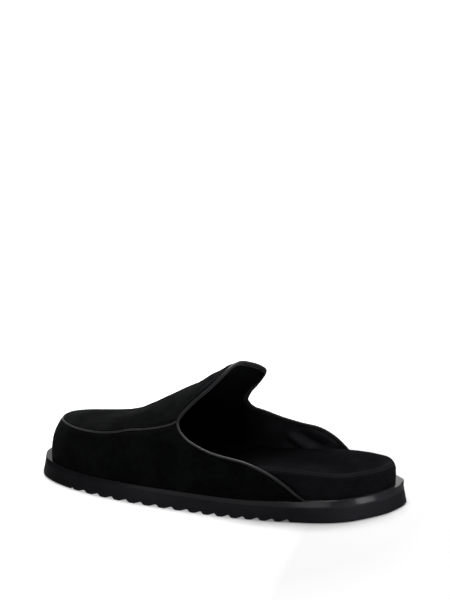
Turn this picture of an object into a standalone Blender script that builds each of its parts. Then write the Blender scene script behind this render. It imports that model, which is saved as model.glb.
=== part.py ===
"""A backless slip-on shoe for the left foot: suede upper, cupped footbed, rippled rubber outsole.

Run with: blender --background --python part.py

Frame: metres, +X towards the toe, +Y towards the outer side of a left foot, +Z up.
The origin is on the floor, under the middle of the sole.
Tables are in millimetres and hold one row for each section. A "station" is the distance back
from the toe tip, and "around" is the distance along the edge of the sole from the toe tip.
"""

import math

import bmesh
import bpy
import numpy as np
from mathutils import Vector

MM = 0.001

# Driving sizes
SOLE_LENGTH = 292.0
SOLE_THICKNESS = 13.0
TOE_SPRING = 1.5          # how far the toe tip lifts off the floor
TOE_SPRING_LENGTH = 75.0
FIT_GAP = 0.3             # between pieces that touch

# Outsole edge
BEVEL_HEIGHT = 2.8
BEVEL_FOOT_INSET = 1.5
END_REACH = 38.0          # both ends turn within this length
END_STEPS = 11
EDGE_FLARE = 2.3          # the edge leans in by this much between floor and bevel
BEVEL_INSET = 4.3
HEEL_BEVEL_INSET = 7.8    # the bevel widens to this round the heel
RIPPLE_DEPTH = 2.2
FRONT_RIPPLES = {"first": 40.5, "pitch": 12.5, "count": 8}
REAR_RIPPLES = {"first": 140.5, "pitch": 10.6, "count": 7}

# Upper: every surface below is the middle of the leather, with half the wall on each side
WALL = 1.8
WALL_INSET = 5.9          # the wall stands this far inside the sole's edge
TOE_WALL_INSET = 7.9      # and this far at the toe
LEAN_HEIGHT = 60.0        # the height at which the lean table is read
LEAN_POWER = 2.8
WALL_ROWS = 8             # faces up the side wall
SEAM_ROWS = 18            # columns along the seam, from the toe to the outer throat corner
INNER_SEAM_ROWS = 5       # further columns to the inner throat corner
COLLAR_ROWS = 20          # columns along each collar
TONGUE_ROWS = 9           # strips over the tongue
STRIP_STEPS = 12          # faces across a strip

# Footbed
FOOTBED_INSET = 8.1
RIM_TOP_INSET = 11.5
CUP_SLOPE = 8.5           # the inside of the rim slopes down over this width
CUP_END = 44.0            # the floor of the cup stays this far from toe and heel

# Binding: a roll of leather along the free edge of the upper
BINDING_RADIUS = 1.35
BINDING_SIDES = 10
BINDING_STEP = 2.6        # length of one step along the roll
EDGE_BACK = BINDING_RADIUS + 2 * FIT_GAP  # the upper stops this far short of the roll's centre
CORNER_BACK = 1.8         # and this much further where the collar turns into the tongue

# Sole outline: y of the outer and the inner edge at each station
OUTLINE = (
    # station, outer, inner
    (6.0, 9.0, -30.0),
    (20.0, 22.9, -41.5),
    (50.0, 36.8, -52.0),
    (90.0, 46.9, -54.0),
    (130.0, 52.1, -48.6),
    (170.0, 55.4, -42.0),
    (210.0, 52.7, -39.2),
    (250.0, 42.7, -40.0),
    (272.0, 25.7, -36.2),
    (284.0, 11.0, -30.0),
)
TOE_TIP_Y = -13.5
HEEL_END_Y = -10.0

# Apron seam along the top of the side wall, from the toe to each throat corner
OUTER_SEAM = (
    # around, height
    (0.0, 45.7), (40.0, 46.2), (65.0, 45.6), (91.0, 47.1), (116.0, 51.9), (140.0, 56.7), (152.0, 60.5),
)
INNER_SEAM = (
    # around, height
    (0.0, 45.7), (34.0, 45.3), (59.0, 43.8), (85.0, 44.6), (110.0, 50.4), (134.0, 56.7), (162.0, 62.3),
    (185.6, 65.5),
)

# Collar along the top of each quarter, from the throat corner down to the ledge of the sole
OUTER_COLLAR = (
    # around, height
    (152.0, 60.5), (155.5, 55.5), (162.7, 50.3), (171.0, 47.0), (183.0, 43.5), (201.0, 40.8),
    (211.0, 39.0), (220.5, 35.8), (230.0, 31.6), (239.6, 25.6), (249.0, 18.2), (253.5, 15.0),
)
INNER_COLLAR = (
    # around, height
    (185.6, 65.5), (187.7, 61.0), (191.1, 58.1), (198.1, 56.3), (211.0, 52.0), (227.0, 48.2),
    (239.6, 45.8), (248.9, 41.2), (256.0, 35.8), (261.6, 30.4), (269.0, 23.2), (277.0, 17.2),
    (281.0, 15.0),
)

# How far the wall leans in at LEAN_HEIGHT
LEAN = (
    # around, outer, inner
    (0.0, 30.0, 30.0),
    (30.0, 27.0, 28.0),
    (60.0, 21.0, 25.0),
    (100.0, 18.0, 20.0),
    (150.0, 15.0, 13.0),
    (190.0, 15.0, 7.0),
    (290.0, 14.0, 6.0),
)

# Crest of the apron and tongue, from just behind the toe seam to the tip
CREST = (
    # station, y, height
    (26.0, -9.0, 47.2),
    (35.0, -8.0, 48.2),
    (52.0, -7.0, 48.8),
    (76.0, -6.0, 53.0),
    (90.0, -6.0, 59.3),
    (103.0, -6.0, 65.8),
    (123.0, -6.5, 76.4),
    (147.0, -6.5, 88.6),
    (158.0, -4.5, 95.0),
    (165.2, -3.0, 100.2),
)
CREST_POWER = 2.6

# Free edge of the tongue, from the outer throat corner over the tip to the inner one
TONGUE_EDGE = (
    # station, y, height
    (128.6, 28.0, 65.1),
    (137.8, 22.5, 75.4),
    (147.4, 18.5, 84.0),
    (155.7, 14.0, 93.2),
    (160.4, 8.0, 99.4),
    (165.6, -3.0, 100.6),
    (170.6, -9.0, 98.9),
    (176.7, -12.5, 96.6),
    (180.9, -14.5, 93.9),
    (181.6, -17.0, 91.1),
    (178.2, -20.5, 85.0),
    (173.2, -23.0, 78.4),
    (168.4, -25.5, 73.2),
)
TIP_ROWS = (4, 8)         # the tip itself runs between these rows

# Footbed: height of the rim on each side and of the floor of the cup
FOOTBED = (
    # station, outer rim, inner rim, floor
    (0.0, 24.0, 24.0, 19.5),
    (60.0, 23.0, 23.0, 18.0),
    (120.0, 27.5, 24.5, 18.5),
    (170.0, 34.5, 27.0, 21.0),
    (190.0, 36.8, 27.5, 21.5),
    (220.0, 35.4, 29.5, 21.0),
    (250.0, 31.7, 31.0, 19.5),
    (272.0, 31.0, 30.6, 19.5),
    (292.0, 30.0, 30.0, 20.0),
)


def read_table(rows, column, at):
    """Value of a column at a place along the first one, with an even slope through the rows."""
    places = np.array([row[0] for row in rows])
    values = np.array([row[column] for row in rows])
    slopes = np.gradient(values, places)
    at = min(max(at, places[0]), places[-1])
    i = min(int(np.searchsorted(places, at, side="right")) - 1, len(rows) - 2)
    span = places[i + 1] - places[i]
    t = (at - places[i]) / span
    rise = values[i + 1] - values[i]
    # A slope over three times the rise would overshoot the rows
    limit = 3.0 * abs(rise) / span
    start = max(-limit, min(limit, slopes[i]))
    end = max(-limit, min(limit, slopes[i + 1]))
    return (values[i] + rise * t * t * (3 - 2 * t)
            + span * (start * t * (1 - t) ** 2 - end * t * t * (1 - t)))


def smooth_step(t):
    t = min(max(t, 0.0), 1.0)
    return t * t * (3.0 - 2.0 * t)


def through_points(points, count, closed=False):
    """A smooth curve (centripetal Catmull-Rom) with count steps between each two points."""
    points = [np.array(p, dtype=float) for p in points]
    if not closed:
        points = [2 * points[0] - points[1]] + points + [2 * points[-1] - points[-2]]
    n = len(points)
    starts = range(n) if closed else range(1, n - 2)
    curve = []
    for i in starts:
        p = [points[(i + k) % n] for k in (-1, 0, 1, 2)]
        t = [0.0]
        for a, b in zip(p, p[1:]):
            t.append(t[-1] + math.sqrt(float(np.linalg.norm(b - a))))
        for step in range(count):
            u = t[1] + (t[2] - t[1]) * step / count
            a = [((t[k + 1] - u) * p[k] + (u - t[k]) * p[k + 1]) / (t[k + 1] - t[k]) for k in range(3)]
            b = [((t[k + 2] - u) * a[k] + (u - t[k]) * a[k + 1]) / (t[k + 2] - t[k]) for k in range(2)]
            curve.append(((t[2] - u) * b[0] + (u - t[1]) * b[1]) / (t[2] - t[1]))
    if not closed:
        curve.append(points[-2])
    return np.array(curve)


class Edge:
    """One side of the sole's outline, from the toe tip to the heel end and a little past each."""

    def __init__(self, curve, past):
        self.curve = curve
        self.past = past
        steps = np.linalg.norm(np.diff(curve, axis=0), axis=1)
        around = np.concatenate([[0.0], np.cumsum(steps)])
        self.around = around - around[past]
        self.length = float(self.around[-1 - past])

    def point(self, around):
        return np.array([np.interp(around, self.around, self.curve[:, k]) for k in (0, 1)])

    def inward(self, around):
        """Unit vector in plan, square to the edge, into the shoe."""
        along = self.point(around + 1.5) - self.point(around - 1.5)
        normal = np.array([-along[1], along[0]]) / np.linalg.norm(along)
        middle = np.array([SOLE_LENGTH / 2, 0.0])
        return normal if normal @ (middle - self.point(around)) > 0 else -normal

    def inset(self, around, distance):
        return self.point(around) + self.inward(around) * distance

    def at_station(self, station):
        """The distance around at which the edge passes a station."""
        own = slice(self.past, len(self.curve) - self.past)
        return float(np.interp(station, self.curve[own, 0], self.around[own]))


def sole_edges():
    outer = [(row[0], row[1]) for row in OUTLINE]
    inner = [(row[0], row[2]) for row in OUTLINE]
    loop = [(0.0, TOE_TIP_Y)] + outer + [(SOLE_LENGTH, HEEL_END_Y)] + inner[::-1]
    steps, past = 30, 10
    curve = through_points(loop, steps, closed=True)
    half = (len(OUTLINE) + 1) * steps
    order = np.arange(-past, half + past + 1)
    return {"outer": Edge(curve[order % len(curve)], past),
            "inner": Edge(curve[-order % len(curve)], past)}


def spring(station):
    """Lift of the sole over the floor towards the toe."""
    return TOE_SPRING * max(0.0, 1.0 - station / TOE_SPRING_LENGTH) ** 2


def place(station, y, height):
    """From shoe measurements in millimetres to the frame in metres."""
    return Vector(((SOLE_LENGTH / 2 - station) * MM, y * MM, height * MM))


def end_stations():
    """Stations crowded towards the toe and the heel, where the outline turns."""
    front = [END_REACH * (k / END_STEPS) ** 1.9 for k in range(1, END_STEPS)]
    return front, [SOLE_LENGTH - s for s in front[::-1]]


def ripple_profile():
    """Stations of the rippled underside with the height of each: a tooth is steep on its toe side."""
    profile = []
    for zone in (FRONT_RIPPLES, REAR_RIPPLES):
        for i in range(zone["count"]):
            notch = zone["first"] + i * zone["pitch"]
            profile.append((notch, RIPPLE_DEPTH))
            profile.append((notch + 0.16 * zone["pitch"], 0.0))
            profile.append((notch + 0.52 * zone["pitch"], 0.0))
    last = REAR_RIPPLES["first"] + REAR_RIPPLES["count"] * REAR_RIPPLES["pitch"]
    profile.append((last, RIPPLE_DEPTH))
    profile.append((last + 0.16 * REAR_RIPPLES["pitch"], 0.0))
    return profile


def new_object(name, mesh_builder, colour, roughness):
    bm = bmesh.new()
    mesh_builder(bm)
    bmesh.ops.recalc_face_normals(bm, faces=bm.faces)
    mesh = bpy.data.meshes.new(name)
    bm.to_mesh(mesh)
    bm.free()
    mesh.shade_smooth()
    mesh.set_sharp_from_angle(angle=math.radians(40.0))
    return finish_object(bpy.data.objects.new(name, mesh), colour, roughness)


def finish_object(obj, colour, roughness):
    material = bpy.data.materials.new(obj.name)
    material.use_nodes = True
    shader = material.node_tree.nodes["Principled BSDF"]
    shader.inputs["Base Color"].default_value = (*colour, 1.0)
    shader.inputs["Roughness"].default_value = roughness
    shader.inputs["Metallic"].default_value = 0.0
    obj.data.materials.append(material)
    PARTS.objects.link(obj)
    return obj


def toe_share(around):
    """1 at the toe, falling to 0 where the side of the shoe begins."""
    return 1.0 - smooth_step((around - 15.0) / 45.0)


def loft_rings(bm, rings):
    """Walls between rings of equal count; returns the vertices of each ring."""
    made = [[bm.verts.new(p) for p in ring] for ring in rings]
    for lower, upper in zip(made, made[1:]):
        for i in range(len(lower)):
            j = (i + 1) % len(lower)
            bm.faces.new((lower[i], lower[j], upper[j], upper[i]))
    return made


def close_across(bm, ring):
    """Cap a ring with strips from side to side: its first vertex is the toe, its middle one the heel."""
    n = len(ring)
    half = n // 2
    bm.faces.new((ring[0], ring[1], ring[n - 1]))
    for i in range(1, half - 1):
        bm.faces.new((ring[i], ring[i + 1], ring[n - i - 1], ring[n - i]))
    bm.faces.new((ring[half - 1], ring[half], ring[half + 1]))


def sole_ring(edges, stations, inset, height, toe_extra=0.0):
    """A ring round the sole at an inset, which grows by toe_extra at the toe as the wall's does.

    Height is a function of station and side. The inset may be a function of around.
    """
    def point(side, around):
        own = inset(around) if callable(inset) else inset
        station, y = edges[side].inset(around, own + toe_extra * toe_share(around))
        return place(station, y, height(station, side))

    outer, inner = edges["outer"], edges["inner"]
    ring = [point("outer", 0.0)]
    ring += [point("outer", outer.at_station(s)) for s in stations]
    ring.append(point("outer", outer.length))
    ring += [point("inner", inner.at_station(s)) for s in reversed(stations)]
    return ring


def build_outsole(edges):
    profile = ripple_profile()
    front, back = end_stations()
    middle = [s for s, _ in profile]
    between = [s for s in (228.0, 236.0, 244.0, 252.0) if s > middle[-1] + 3.0]
    stations = [s for s in front if s < middle[0] - 2.0] + middle + between + [s for s in back if s > 255.0]

    def underside(station, side):
        return float(np.interp(station, middle, [z for _, z in profile], 0.0, 0.0)) + spring(station)

    def over(height):
        return lambda station, side: height + spring(station)

    def bevel_top(around):
        return BEVEL_INSET + (HEEL_BEVEL_INSET - BEVEL_INSET) * smooth_step((around - 228.0) / 30.0)

    def build(bm):
        rings = [
            sole_ring(edges, stations, BEVEL_FOOT_INSET - EDGE_FLARE, underside),
            sole_ring(edges, stations, BEVEL_FOOT_INSET, over(SOLE_THICKNESS - BEVEL_HEIGHT)),
            sole_ring(edges, stations, bevel_top, over(SOLE_THICKNESS)),
        ]
        made = loft_rings(bm, rings)
        close_across(bm, made[0])
        close_across(bm, made[-1])

    return new_object("outsole", build, (0.012, 0.012, 0.013), 0.35)


def build_footbed(edges):
    front, back = end_stations()
    stations = front + [float(s) for s in range(42, 252, 8)] + back
    toe_extra = TOE_WALL_INSET - WALL_INSET
    columns = {"outer": 1, "inner": 2}

    def middle_line(station):
        """A point half way across, kept clear of both ends."""
        s = min(max(station, CUP_END), SOLE_LENGTH - CUP_END)
        return np.array([s, sum(edge.point(edge.at_station(s))[1] for edge in edges.values()) / 2])

    def ring_at(inset, share, rise, down=0.0, towards=0.0):
        """share is how far the ring has come down from rim to floor, rise lifts it above that line.

        From its inset the ring moves in by down, and then part of the way towards the middle.
        """
        def height(station, side):
            rim = read_table(FOOTBED, columns[side], station)
            return rim + (read_table(FOOTBED, 3, station) - rim) * share + rise

        ring = []
        for p in sole_ring(edges, stations, inset, height, toe_extra):
            start = np.array([SOLE_LENGTH / 2 - p.x / MM, p.y / MM])
            inwards = middle_line(start[0]) - start
            reach = np.linalg.norm(inwards)
            station, y = start + inwards * (down + (reach - down) * towards) / reach
            ring.append(place(station, y, p.z / MM))
        return ring

    def build(bm):
        rings = [
            sole_ring(edges, stations, FOOTBED_INSET,
                      lambda s, side: SOLE_THICKNESS + FIT_GAP + spring(s), toe_extra),
            ring_at(FOOTBED_INSET + 0.5, 0.0, -6.0),
            ring_at(FOOTBED_INSET + 1.4, 0.0, -2.6),
            ring_at(FOOTBED_INSET + 2.5, 0.0, -0.7),
            ring_at(RIM_TOP_INSET, 0.0, 0.0),
            ring_at(RIM_TOP_INSET, 0.06, 0.0, 2.2),
            ring_at(RIM_TOP_INSET, 0.32, 0.0, 5.0),
            ring_at(RIM_TOP_INSET, 0.66, 0.0, CUP_SLOPE),
            ring_at(RIM_TOP_INSET, 0.88, 0.0, CUP_SLOPE, 0.25),
            ring_at(RIM_TOP_INSET, 1.0, 0.0, CUP_SLOPE, 0.6),
        ]
        made = loft_rings(bm, rings)
        close_across(bm, made[0])
        close_across(bm, made[-1])

    return new_object("footbed", build, (0.016, 0.015, 0.016), 0.9)


def wall_point(edges, side, around, height):
    """A point in the middle of the upper's wall, which stands straight and then leans in."""
    lean = read_table(LEAN, 1 if side == "outer" else 2, around)
    lean *= (max(height - SOLE_THICKNESS, 0.0) / (LEAN_HEIGHT - SOLE_THICKNESS)) ** LEAN_POWER
    inset = WALL_INSET + (TOE_WALL_INSET - WALL_INSET) * toe_share(around)
    p = edges[side].inset(around, inset + lean)
    return np.array([p[0], p[1], height])


def wall_foot(edges, side, around):
    """Height at which the upper's wall starts, just over the ledge of the sole."""
    station = wall_point(edges, side, around, SOLE_THICKNESS)[0]
    return SOLE_THICKNESS + FIT_GAP + spring(station)


def collar_line(side, back=0.0):
    """The collar in (around, height), moved back into the leather by a distance."""
    line = through_points(OUTER_COLLAR if side == "outer" else INNER_COLLAR, 8)
    along = np.gradient(line, axis=0)
    along /= np.linalg.norm(along, axis=1)[:, None]
    return line + back * np.column_stack([along[:, 1], -along[:, 0]])


def tongue_lines(edges):
    """Free edge of the tongue: outer side up to the tip, across the tip, inner side up to the tip."""
    corners = [wall_point(edges, "outer", *OUTER_COLLAR[0]), wall_point(edges, "inner", *INNER_COLLAR[0])]
    steps = 10
    line = through_points([corners[0], *TONGUE_EDGE, corners[1]], steps)
    start, end = ((row + 1) * steps for row in TIP_ROWS)
    return line[:start + 1], line[start:end + 1], line[end:][::-1]


def spaced(curve, count, skip_start=0.0, skip_end=0.0):
    """Count + 1 points at even distances along a curve, leaving out a length at either end."""
    steps = np.concatenate([[0.0], np.cumsum(np.linalg.norm(np.diff(curve, axis=0), axis=1))])
    at = np.linspace(skip_start, steps[-1] - skip_end, count + 1)
    return np.column_stack([np.interp(at, steps, curve[:, k]) for k in range(curve.shape[1])])


def strip_over(outer, inner, crest):
    """A fine line from the outer edge over the crest to the inner edge."""
    w = np.linspace(0.0, 1.0, 61)[:, None]
    bump = 1.0 - np.abs(2.0 * w - 1.0) ** CREST_POWER
    return outer + (inner - outer) * w + (crest - (outer + inner) / 2) * bump


def keep_clear(points, line, distance):
    """Points pushed straight away from a fine line until none is nearer to it than the distance."""
    moved = []
    for p in points:
        away = p - line[np.argmin(np.linalg.norm(line - p, axis=1))]
        short = distance - np.linalg.norm(away)
        moved.append(p + away / np.linalg.norm(away) * short if short > 0.0 else p)
    return np.array(moved)


def wall_columns(edges, side):
    """Where each column of the side wall stands and how high it goes: along the seam, then the collar."""
    seam = OUTER_SEAM if side == "outer" else INNER_SEAM
    collar = collar_line(side, EDGE_BACK)
    outer_corner = collar_line("outer", EDGE_BACK)[0][0] - CORNER_BACK
    rows = [outer_corner * k / SEAM_ROWS for k in range(SEAM_ROWS + 1)]
    if side == "inner":
        rows += list(np.linspace(outer_corner, collar[0][0] - CORNER_BACK, INNER_SEAM_ROWS + 1))[1:]
    tops = [(around, read_table(seam, 1, around)) for around in rows]
    corner = np.array([tops[-1]])
    return tops + [tuple(p) for p in spaced(np.vstack([corner, collar[1:]]), COLLAR_ROWS)[1:]]


def apron_strips(edges, seam_outer, seam_inner):
    """Strips over the apron from seam to seam, then over the tongue from free edge to free edge."""
    outer_line, tip_line, inner_line = tongue_lines(edges)
    outer_free = list(spaced(outer_line, TONGUE_ROWS)[1:])
    inner_rows = SEAM_ROWS + TONGUE_ROWS + 1 - len(seam_inner)
    inner_free = list(spaced(inner_line, inner_rows)[1:])
    outer_ends = list(seam_outer) + outer_free
    inner_ends = list(seam_inner) + inner_free

    crest_line = through_points([seam_outer[0], *CREST], 8)
    middles = [(a + b) / 2 for a, b in zip(outer_ends, inner_ends)]
    stations = [m[0] for m in middles[:SEAM_ROWS + 1]]
    stations += list(np.linspace(stations[-1], CREST[-1][0], TONGUE_ROWS + 1))[1:]

    strips = []
    for i in range(1, len(outer_ends) - 1):
        crest = np.array([np.interp(stations[i], crest_line[:, 0], crest_line[:, k]) for k in range(3)])
        fine = strip_over(outer_ends[i], inner_ends[i], crest)
        strip = spaced(fine, STRIP_STEPS,
                       EDGE_BACK if i >= len(seam_outer) else 0.0,
                       EDGE_BACK if i >= len(seam_inner) else 0.0)
        strips.append(strip)
    tip = spaced(tip_line, STRIP_STEPS)
    inwards = strips[-1] - tip
    inwards /= np.linalg.norm(inwards, axis=1)[:, None]
    strips.append(tip + inwards * EDGE_BACK)
    # A strip that meets the free edge at an angle is still a little near to it
    edge = spaced(np.vstack([outer_line, tip_line[1:], inner_line[::-1][1:]]), 600)
    return [np.vstack([keep_clear(s[:1], edge, EDGE_BACK) if i >= len(seam_outer) - 1 else s[:1],
                       keep_clear(s[1:-1], edge, EDGE_BACK),
                       keep_clear(s[-1:], edge, EDGE_BACK) if i >= len(seam_inner) - 1 else s[-1:]])
            for i, s in enumerate(strips)]


def build_upper(edges):
    def build(bm):
        columns = {}
        for side in ("outer", "inner"):
            columns[side] = []
            for around, top in wall_columns(edges, side):
                foot = wall_foot(edges, side, around)
                heights = [foot + (top - foot) * k / WALL_ROWS for k in range(WALL_ROWS + 1)]
                columns[side].append([wall_point(edges, side, around, h) for h in heights])
        seam_outer = [c[-1] for c in columns["outer"][:SEAM_ROWS + 1]]
        seam_inner = [c[-1] for c in columns["inner"][:SEAM_ROWS + INNER_SEAM_ROWS + 1]]
        strips = apron_strips(edges, seam_outer, seam_inner)

        # Side wall, from the outer quarter's end round the toe to the inner quarter's end
        made = {side: [[bm.verts.new(place(*p)) for p in column] for column in columns[side][1:]]
                for side in columns}
        toe = [bm.verts.new(place(*p)) for p in columns["outer"][0]]
        band = made["outer"][::-1] + [toe] + made["inner"]
        for left, right in zip(band, band[1:]):
            for k in range(WALL_ROWS):
                bm.faces.new((left[k], right[k], right[k + 1], left[k + 1]))

        # Apron and tongue: a fan at the toe, then strip after strip
        previous = None
        for i, strip in enumerate(strips):
            row = [bm.verts.new(place(*p)) for p in strip[1:-1]]
            first = made["outer"][i][-1] if i < SEAM_ROWS else bm.verts.new(place(*strip[0]))
            last = (made["inner"][i][-1] if i < SEAM_ROWS + INNER_SEAM_ROWS
                    else bm.verts.new(place(*strip[-1])))
            row = [first] + row + [last]
            for k in range(STRIP_STEPS):
                if previous is None:
                    bm.faces.new((toe[-1], row[k], row[k + 1]))
                else:
                    bm.faces.new((previous[k], row[k], row[k + 1], previous[k + 1]))
            previous = row

    obj = new_object("upper", build, (0.014, 0.013, 0.014), 0.92)
    shell = obj.modifiers.new("wall", "SOLIDIFY")
    shell.thickness = WALL * MM
    shell.offset = 0.0
    return obj


def build_binding(edges):
    """A round roll along the whole free edge: up one quarter, over the tongue, down the other."""
    outer_line, tip_line, inner_line = tongue_lines(edges)
    outer = [wall_point(edges, "outer", *p) for p in collar_line("outer")[::-1]]
    inner = [wall_point(edges, "inner", *p) for p in collar_line("inner")]
    path = np.vstack([outer, outer_line[1:], tip_line[1:], inner_line[::-1][1:], inner[1:]])
    steps = int(np.linalg.norm(np.diff(path, axis=0), axis=1).sum() / BINDING_STEP)
    path = [place(*p) for p in spaced(path, steps)]

    def build(bm):
        rings = []
        side = None
        for i, centre in enumerate(path):
            along = (path[min(i + 1, steps)] - path[max(i - 1, 0)]).normalized()
            side = (Vector((0.0, 0.0, 1.0)) if side is None else side)
            side = (side - along * side.dot(along)).normalized()
            across = along.cross(side)
            turns = [2 * math.pi * k / BINDING_SIDES for k in range(BINDING_SIDES)]
            rings.append([centre + (side * math.cos(t) + across * math.sin(t)) * BINDING_RADIUS * MM
                          for t in turns])
        made = loft_rings(bm, rings)
        bm.faces.new(made[0])
        bm.faces.new(made[-1])

    return new_object("binding", build, (0.010, 0.010, 0.011), 0.45)


def main():
    edges = sole_edges()
    build_outsole(edges)
    build_footbed(edges)
    build_upper(edges)
    build_binding(edges)


for old in list(bpy.data.objects):
    bpy.data.objects.remove(old, do_unlink=True)
PARTS = bpy.data.collections.new("slip_on_shoe")
bpy.context.scene.collection.children.link(PARTS)
main()
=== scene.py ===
# %% [markdown]
# # A suede slip-on shoe, from frame to finish
#
# The real object is a backless shoe for the left foot. A soft suede upper with a long tongue is
# bound in smooth leather, a thin cord runs round its toe, the foot stands in a suede-covered cup,
# and a thick rubber sole with ripples carries it all.
#
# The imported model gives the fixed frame: metres, +X towards the toe, +Y to the outer side, +Z up.
# Everything here is made in that frame, so each piece goes where its plain solid is.

import math

import bmesh
import bpy
import numpy as np
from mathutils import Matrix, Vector, noise
from mathutils.bvhtree import BVHTree


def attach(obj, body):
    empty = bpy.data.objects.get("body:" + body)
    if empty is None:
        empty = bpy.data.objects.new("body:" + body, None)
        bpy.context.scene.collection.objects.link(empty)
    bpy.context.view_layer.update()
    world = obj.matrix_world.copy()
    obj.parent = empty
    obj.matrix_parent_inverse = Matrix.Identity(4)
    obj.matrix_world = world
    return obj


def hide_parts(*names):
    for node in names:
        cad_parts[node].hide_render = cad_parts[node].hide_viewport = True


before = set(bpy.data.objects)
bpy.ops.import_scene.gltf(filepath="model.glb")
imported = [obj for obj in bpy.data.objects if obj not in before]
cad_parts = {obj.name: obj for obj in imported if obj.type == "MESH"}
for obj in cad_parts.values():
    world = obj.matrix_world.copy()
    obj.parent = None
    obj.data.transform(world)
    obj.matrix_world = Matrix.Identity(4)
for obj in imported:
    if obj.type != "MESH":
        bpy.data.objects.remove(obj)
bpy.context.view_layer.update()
BODY = "root"
MM = 0.001

# %% [markdown]
# ## Camera
#
# The camera comes first, because every later choice is judged through it. It looks at the outer
# side from a little behind, and down at about twenty degrees. It stands three quarters of a metre
# away with a long lens, so the toe and the heel are drawn at almost the same scale. The lens is
# shifted instead of tilted, which puts the shoe low in the frame.

# %% Camera
CAMERA_TURN = 15.77        # degrees round from the outer side towards the heel
CAMERA_RISE = 19.5         # degrees above the floor
CAMERA_PLACE = Vector((-0.19119, 0.67736, 0.27036))
LENS = 58.0
SHIFT = (0.0178, 0.2697)
SHOE_MIDDLE = Vector((0, 0, 0.02))

turn, rise = math.radians(CAMERA_TURN), math.radians(CAMERA_RISE)
backwards = Vector((-math.sin(turn) * math.cos(rise), math.cos(turn) * math.cos(rise),
                    math.sin(rise)))
camera = bpy.data.objects.new("camera", bpy.data.cameras.new("camera"))
camera.location = CAMERA_PLACE
camera.rotation_mode = "QUATERNION"
camera.rotation_quaternion = backwards.to_track_quat("Z", "Y")
camera.data.lens = LENS
camera.data.sensor_width = 36.0
camera.data.shift_x, camera.data.shift_y = SHIFT
camera.data.clip_start = 0.01
bpy.context.scene.collection.objects.link(camera)
bpy.context.scene.camera = camera
print("camera", round((CAMERA_PLACE - SHOE_MIDDLE).length, 3), "m from the shoe")

# %% [markdown]
# ## Sizes of the shoe
#
# A shoe is made round a last, so its shape is a set of sections. The tables hold one row for each
# section, in millimetres. A *station* is the distance back from the toe tip, and *around* is the
# distance along the edge of the sole from the toe tip. They are the sizes of the plain solids,
# so the detailed pieces land on them.

# %% Sizes and section tables
SOLE_LENGTH = 292.0
SOLE_THICKNESS = 13.0
TOE_SPRING, TOE_SPRING_LENGTH = 1.5, 75.0
BEVEL_HEIGHT, BEVEL_FOOT_INSET, EDGE_FLARE = 2.8, 1.5, 2.3
TOE_BEVEL_INSET, BEVEL_INSET, HEEL_BEVEL_INSET, HEEL_END_INSET = 1.0, 4.3, 5.8, 4.1
INNER_BEVEL_LESS = 1.6     # the bevel is this much narrower on the inner side
HEEL_EDGE_RISE = 1.4
RIPPLE_DEPTH = 2.2
FRONT_RIPPLES = {"first": 40.5, "pitch": 12.5, "count": 8}
REAR_RIPPLES = {"first": 140.5, "pitch": 10.6, "count": 7}
WALL = 1.8
WALL_INSET, TOE_WALL_INSET = 5.9, 7.9
LEAN_HEIGHT, LEAN_POWER = 60.0, 2.8
FOOTBED_INSET, RIM_TOP_INSET, CUP_SLOPE, CUP_END = 8.1, 11.5, 8.5, 44.0
TOE_TIP_Y, HEEL_END_Y = -13.5, -10.0
CREST_POWER = 2.6
TIP_ROWS = (4, 8)

OUTLINE = (
    # station, outer, inner
    (6.0, 9.0, -30.0), (20.0, 22.9, -41.5), (50.0, 36.8, -52.0), (90.0, 46.9, -54.0),
    (130.0, 52.1, -48.6), (170.0, 55.4, -42.0), (210.0, 52.7, -39.2), (250.0, 42.7, -40.0),
    (272.0, 25.7, -36.2), (284.0, 11.0, -30.0),
)
OUTER_SEAM = (
    # around, height
    (0.0, 45.7), (40.0, 46.2), (65.0, 45.6), (91.0, 47.1), (116.0, 51.9), (140.0, 56.7),
    (152.0, 60.5),
)
INNER_SEAM = (
    # around, height
    (0.0, 45.7), (34.0, 45.3), (59.0, 43.8), (85.0, 44.6), (110.0, 50.4), (134.0, 56.7),
    (162.0, 62.3), (185.6, 65.5),
)
OUTER_COLLAR = (
    # around, height
    (152.0, 60.5), (155.5, 55.5), (162.7, 50.3), (171.0, 47.0), (183.0, 43.5), (201.0, 40.8),
    (211.0, 39.0), (220.5, 35.8), (230.0, 31.6), (239.6, 25.6), (249.0, 18.2), (253.5, 15.0),
)
INNER_COLLAR = (
    # around, height
    (185.6, 65.5), (187.7, 61.0), (191.1, 58.1), (198.1, 56.3), (211.0, 52.0), (227.0, 48.2),
    (239.6, 45.8), (248.9, 41.2), (256.0, 35.8), (261.6, 30.4), (269.0, 23.2), (277.0, 17.2),
    (281.0, 15.0),
)
LEAN = (
    # around, outer, inner
    (0.0, 30.0, 30.0), (30.0, 27.0, 28.0), (60.0, 21.0, 25.0), (100.0, 18.0, 20.0),
    (150.0, 15.0, 13.0), (190.0, 15.0, 7.0), (290.0, 14.0, 6.0),
)
CREST = (
    # station, y, height
    (26.0, -9.0, 47.2), (35.0, -8.0, 48.2), (52.0, -7.0, 48.8), (76.0, -6.0, 53.0),
    (90.0, -6.0, 59.3), (103.0, -6.0, 65.8), (123.0, -6.5, 76.4), (147.0, -6.5, 88.2),
    (158.0, -4.5, 94.4), (165.2, -3.0, 99.7),
)
TONGUE_EDGE = (
    # station, y, height
    (128.6, 28.0, 65.1), (137.8, 22.5, 75.4), (147.4, 18.5, 84.0), (155.7, 14.0, 92.8),
    (160.4, 8.0, 98.3), (165.6, -3.0, 100.6), (170.6, -9.0, 98.9), (176.7, -12.5, 96.6),
    (180.9, -14.5, 93.9), (181.6, -17.0, 91.1), (178.2, -20.5, 85.0), (173.2, -23.0, 78.4),
    (168.4, -25.5, 73.2),
)
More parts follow.
